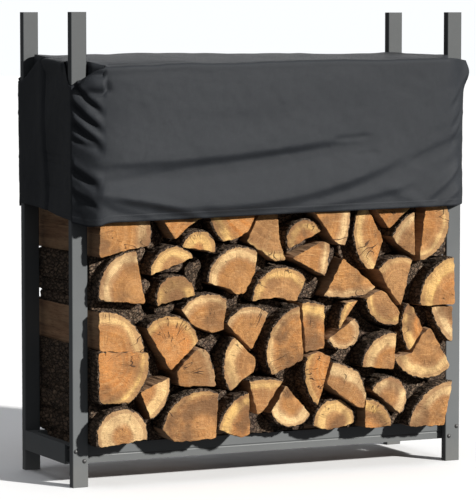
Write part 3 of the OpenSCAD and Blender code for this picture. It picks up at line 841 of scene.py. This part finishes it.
def puff(s, z):
    """The gathered lobe under the front left opening: s is the distance from the turn."""
    centre_s, centre_z, radius, height = -0.022, 1.004, 0.036, 0.007
    reach = np.hypot((s - centre_s) / 1.2, np.maximum(z - centre_z, 0.0)) / radius
    inside = ease(z, 0.996, 1.010) * np.clip(1.0 - reach ** 2, 0, 1)
    crease = bell(reach - 1.10, 0.20) * ease(z, 0.994, 1.006)
    under = bell(z - 1.000, 0.009) * bell(s - centre_s, 0.040)
    return height * (inside ** 0.5 - crease - under)


def end_folds(y, z):
    """Between its uprights an end hangs in, with one long fold and faint packing creases."""
    gap = np.cos(np.clip(y / END_HALF, -1, 1) * math.pi / 2) ** 1.1
    fold_y = END_FOLD_Y + 0.05 * (z - 0.85)
    total = -0.009 * gap - 0.0045 * gap * bell(y - fold_y, 0.0055)
    total += 0.0030 * gap * bell(y - fold_y - 0.024, 0.022)
    total -= 0.0030 * gap * np.sin((z - 0.7) * 21.0 + y * 13.0)
    for height in PACKING_CREASES:
        total -= 0.0022 * bell(z - height - 0.05 * y, 0.0045) * (y < 0.02) * gap ** 0.5
    return total


def top_height(x, y):
    """The top cloth lies on the uppermost logs: a low crown with soft hollows."""
    share = np.clip((y + FRONT_Y) / (2 * FRONT_Y), 0.0, 1.0)
    level = marks(TOP_FRONT, x) * (1 - share) + marks(TOP_BACK, x) * share
    p = np.stack([x * 7.0, y * 3.0, np.zeros_like(x)], axis=-1)
    ripple = 0.0016 * np.sin(y * 150.0 + 4.0 * x) * bell(y + 0.19, 0.045) * bell(x + 0.40, 0.13)
    lump = 0.007 * bell(x + 0.545, 0.014) * bell(y + 0.02, 0.07)
    return level + 0.004 * np.sin(math.pi * share) + 0.0035 * fractal(p, 5) + ripple + lump


class Skirt:
    """The hanging part of the cover: columns going round from the front's left end."""

    def __init__(self):
        stretches = (("front", 0, -1, FRONT_COLUMNS), ("slant", 1, -1, SLANT_COLUMNS),
                     ("end", 1, 0, END_COLUMNS), ("slant", 1, 1, SLANT_COLUMNS),
                     ("front", 0, 1, FRONT_COLUMNS), ("slant", -1, 1, SLANT_COLUMNS),
                     ("end", -1, 0, END_COLUMNS), ("slant", -1, -1, SLANT_COLUMNS))
        kind, side_x, side_y, t = zip(*[(kind, sx, sy, k / count)
                                        for kind, sx, sy, count in stretches
                                        for k in range(count)])
        kind = np.array(kind)
        self.front, self.slant, self.end = kind == "front", kind == "slant", kind == "end"
        self.sx, self.sy, t = np.array(side_x, float), np.array(side_y, float), np.array(t)
        self.n = len(t)
        # w is 0 where the front or back turns and 1 at an upright's outer corner.
        self.w = np.where(self.slant, np.where(self.sx * self.sy < 0, t, 1.0 - t), 0.0)
        level = -self.sy * (2 * t - 1)
        bow = TURN[1] + (FRONT_Y - TURN[1]) * (1.0 - level ** 6)
        slant_x = TURN[0] + (POST[0] - TURN[0]) * self.w
        slant_y = TURN[1] + (POST[1] - TURN[1]) * self.w
        self.x = np.where(self.front, TURN[0] * level, np.where(self.end, self.sx * POST[0],
                                                                self.sx * slant_x))
        self.y = np.where(self.front, self.sy * bow, np.where(
            self.end, self.sx * POST[1] * (2 * t - 1), self.sy * slant_y))
        self.set_heights()

    def set_heights(self):
        x, y = self.x, self.y
        self.hem = np.where(y < -POST[1] + 1e-6, marks(HEM_FRONT, x), marks(HEM_BACK, x))
        ends = np.where(self.sx < 0, marks(HEM_LEFT, y), marks(HEM_RIGHT, y))
        self.hem = np.where(self.end, ends, self.hem)
        dip = bell(x + 0.530, 0.030) * (self.sy < 0) * (1 - self.end)
        self.hem = self.hem - 0.012 * dip
        self.crown = top_height(x, y)
        self.rim = self.crown.copy()
        self.open = self.slant.copy()
        self.corner = np.zeros(self.n, int)         # 1 to 4 in the openings, 0 elsewhere
        for number, (signs, (turn_z, post_z, reach)) in enumerate(OPENINGS.items(), 1):
            here = (np.sign(x) == signs[0]) & (np.sign(y) == signs[1])
            by_end = here & self.end & (np.abs(y) > reach)
            rise = ease(np.abs(y), POST[1] - 0.003, reach)
            self.rim = np.where(by_end, post_z + (self.crown - post_z) * rise, self.rim)
            drop = (turn_z - post_z) * self.w ** 1.2
            self.rim = np.where(here & self.slant, turn_z - drop, self.rim)
            self.open |= by_end
            self.corner[here & (self.slant | by_end)] = number

    def shape(self):
        """Places of all points: rows from the hem up, columns, (x, y, z)."""
        rows = SKIRT_ROWS + EDGE_ROWS
        up = np.arange(rows + 1)[:, None]
        flat = self.hem + (self.crown - EDGE_R - self.hem) * np.minimum(up / SKIRT_ROWS, 1.0)
        turn = math.pi / 2 * np.maximum(up - SKIRT_ROWS, 0) / EDGE_ROWS
        z = np.where(self.open, self.hem + (self.rim - self.hem) * up / rows,
                     flat + EDGE_R * np.sin(turn))
        inset = np.where(self.open, 0.0, EDGE_R * (1 - np.cos(turn)))
        plan = np.broadcast_to(np.stack([self.x, self.y], axis=-1), (rows + 1, self.n, 2)).copy()
        # The front turns into the slants softly, and more sharply towards the hem.
        hold = bell(np.where(self.slant, self.w, np.where(self.end, 1.0, 0.0)) - 1.0, 0.10)
        rate = 0.85 * (1 - hold) * (0.08 + 0.92 * ease(z, 0.735, 0.800))
        for _ in range(SMOOTHING_PASSES):
            smooth = (np.roll(plan, 1, axis=1) + np.roll(plan, -1, axis=1)) / 2
            plan = plan + rate[..., None] * (smooth - plan)
        ahead = np.roll(plan, -1, axis=1) - np.roll(plan, 1, axis=1)
        normal = np.stack([ahead[..., 1], -ahead[..., 0]], axis=-1)
        normal /= np.linalg.norm(normal, axis=-1)[..., None]
        out = self.relief(plan, z) - inset
        return np.concatenate([plan + normal * out[..., None], z[..., None]], axis=-1)

    def relief(self, plan, z):
        """How far each point stands out from the taut cover."""
        x, y = plan[..., 0], plan[..., 1]
        w = np.broadcast_to(self.w, z.shape)
        below_top = ease(self.crown - z, 0.0, 0.045)
        faced = self.front | self.slant
        toward_post = ease(-np.abs(x), -0.552, -0.500)
        out = np.where(faced & (self.sy < 0), front_folds(x, z) * toward_post, 0.0)
        out += np.where(faced & (self.sy > 0), 0.8 * front_folds(0.03 - x * 0.93, z + 0.02)
                        * toward_post, 0.0)
        for seed, (cx, cy) in enumerate(OPENINGS):
            here = self.slant & (self.sx == cx) & (self.sy == cy)
            # The cover is pulled tighter at the front right.
            depth = 0.25 if (cx, cy) == (1, -1) else 0.55
            out += np.where(here, depth * slant_folds(w, z, seed), 0.0)
        at_turn = np.hypot(x + TURN[0], y + TURN[1])
        s = np.where(self.slant, -at_turn, at_turn)
        out += np.where((self.sy < 0) & (x < -0.4) & faced, puff(s, z), 0.0)
        out += np.where(self.end, end_folds(y, z), 0.0)
        # A corner of cloth sticks out by the front right upright.
        ear = bell(np.hypot(x - POST[0], y + POST[1]), 0.026) * bell(z - 1.042, 0.034)
        out += 0.017 * ear
        p = np.stack([x * 11, y * 11, z * 11], axis=-1)
        out += (0.0020 * fractal(p, 3) + 0.0007 * fractal(p * 4.0, 9)) * below_top
        return out * np.maximum(below_top, np.where(self.open, 1.0, 0.12))


def inner_rims(skirt, edge):
    """Where the top cloth ends round the uprights, in place of the skirt's rims."""
    loop = edge.copy()
    n = skirt.n
    for number, (cx, cy) in enumerate(OPENINGS, 1):
        ids = np.flatnonzero(skirt.corner == number)
        a, b = edge[ids[0] - 1], edge[(ids[-1] + 1) % n]
        inner = INNER_RIM * (cx, cy)
        if abs(a[1]) < abs(b[1]):
            inner = inner[::-1]
        knots = np.array([a[:2], *inner, b[:2]])
        walked = np.concatenate([[0], np.cumsum(np.linalg.norm(np.diff(knots, axis=0), axis=1))])
        u = np.linspace(0, walked[-1], len(ids) + 2)
        way = np.stack([np.interp(u, walked, knots[:, k]) for k in (0, 1)], axis=1)
        for _ in range(2):
            way[1:-1] += 0.5 * ((way[:-2] + way[2:]) / 2 - way[1:-1])
        x, y = way[1:-1].T
        lift = 0.005 * np.sin(math.pi * u[1:-1] / walked[-1])
        loop[ids] = np.stack([x, y, top_height(x, y) + lift], axis=1)
    return loop


def make_cover():
    skirt = Skirt()
    n = skirt.n
    wall = skirt.shape()
    rows = len(wall)
    loop = inner_rims(skirt, wall[-1])
    ridge = np.stack([np.clip(loop[:, 0], -RIDGE_X, RIDGE_X), np.zeros(n)], axis=1)
    bias = loop[:, 2] - top_height(loop[:, 0], loop[:, 1])
    tops = []
    for i in range(1, TOP_ROWS + 1):
        share = i / TOP_ROWS
        flat = loop[:, :2] * (1 - share) + ridge * share
        lift = top_height(flat[:, 0], flat[:, 1]) + bias * (1 - ease(share, 0.0, 0.25))
        tops.append(np.concatenate([flat, lift[:, None]], axis=1))

    # The top's outer row is the skirt's last row, except in the openings.
    opened = np.flatnonzero(skirt.open)
    verts = [wall.reshape(-1, 3), loop[opened], *tops]
    edge_ids = (rows - 1) * n + np.arange(n)
    edge_ids[opened] = rows * n + np.arange(len(opened))
    first_top = rows * n + len(opened)
    row_ids = [edge_ids] + [first_top + i * n + np.arange(n) for i in range(TOP_ROWS)]
    faces = []

    def band(a, b, columns):
        for c in columns:
            d = (c + 1) % n
            faces.append((int(a[c]), int(a[d]), int(b[d]), int(b[c])))

    for i in range(rows - 1):
        band(i * n + np.arange(n), (i + 1) * n + np.arange(n), range(n))
    for a, b in zip(row_ids, row_ids[1:]):
        band(a, b, range(n))
    # Cloth hangs down inside each opening, from the top's inner rim.
    above = edge_ids
    count = first_top + TOP_ROWS * n
    for i in range(1, FLAP_ROWS + 1):
        fall = i / FLAP_ROWS
        flap = loop[opened] + np.stack([np.sign(loop[opened, 0]) * 0.002 * fall,
                                        np.zeros(len(opened)),
                                        np.full(len(opened), -FLAP_DROP * fall)], axis=1)
        below = above.copy()
        below[opened] = count + np.arange(len(opened))
        count += len(opened)
        verts.append(flap)
        both = [c for c in opened if skirt.corner[c] == skirt.corner[(c + 1) % n]]
        band(below, above, both)
        above = below

    verts = np.concatenate(verts)
    mesh = bpy.data.meshes.new("cover")
    mesh.from_pydata(verts.tolist(), [], faces)
    # Where each point lies on the cloth before it was sewn, and its height above the hem.
    around = np.linalg.norm(np.diff(wall[0, :, :2], axis=0), axis=1)
    girth = np.concatenate([[0], np.cumsum(around)])
    # It is counted both ways from the left end's long fold, so that it never jumps.
    half = girth[-1] / 2
    fold = girth[np.argmin(np.hypot(wall[0, :, 0] + POST[0], wall[0, :, 1] - END_FOLD_Y))]
    girth = np.abs((girth - fold + half) % (2 * half) - half)
    on_skirt = rows * n
    cloth = verts * (1.0, 1.0, 0.0)
    cloth[:on_skirt] = np.stack([np.tile(girth, rows), wall[..., 2].ravel(),
                                 np.zeros(on_skirt)], axis=1)
    seam = np.full(len(verts), FAR_FROM_HEM)
    seam[:on_skirt] = (wall[..., 2] - skirt.hem).ravel()
    mesh.attributes.new("cloth", "FLOAT_VECTOR", "POINT").data.foreach_set("vector", cloth.ravel())
    mesh.attributes.new("seam", "FLOAT", "POINT").data.foreach_set("value", seam)
    mesh.materials.append(MATERIALS["coated_fabric"])
    mesh.shade_smooth()
    cover = bpy.data.objects.new("cover", mesh)
    scene.collection.objects.link(cover)
    weld = cover.modifiers.new("weld", "WELD")
    weld.merge_threshold = WELD_GAP
    solid = cover.modifiers.new("cloth", "SOLIDIFY")
    solid.thickness = CLOTH_T
    solid.offset = -1.0
    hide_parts("cover_top", "cover_front", "cover_back", "cover_end_left",
                "cover_end_right", "cover_corners")
    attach(cover, "cover")


make_cover()
